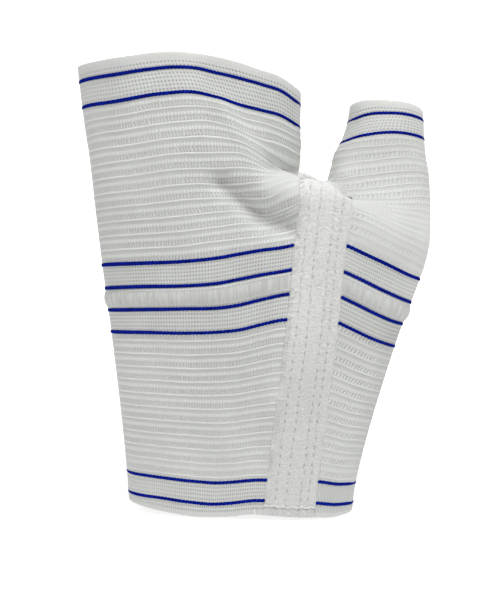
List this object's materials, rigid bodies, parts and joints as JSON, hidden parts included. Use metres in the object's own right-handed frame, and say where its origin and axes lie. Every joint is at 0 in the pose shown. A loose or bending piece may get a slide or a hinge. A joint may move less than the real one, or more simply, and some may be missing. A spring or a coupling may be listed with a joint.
{
  "type": "palm protector",
  "caption": "Knitted elastic sleeve for wrist and palm with a thumb tube, ribbed courses and a sewn tape over its front seam; supports and covers the palm.",
  "frame": {"origin": "middle of the wrist opening, where the hand comes in", "axes": "+Z from the wrist to the fingers, +X to the thumb side, -Y the front that carries the seam tape"},
  "size_m": [0.1351, 0.0469, 0.1695],
  "materials": {
    "knit": "white ribbed elastic knit with dark blue yarn lines",
    "tape": "white sewn cotton tape"
  },
  "bodies": {
    "root": {"knit_sleeve": "knit", "seam_tape": "tape"}
  },
  "joints": []
}
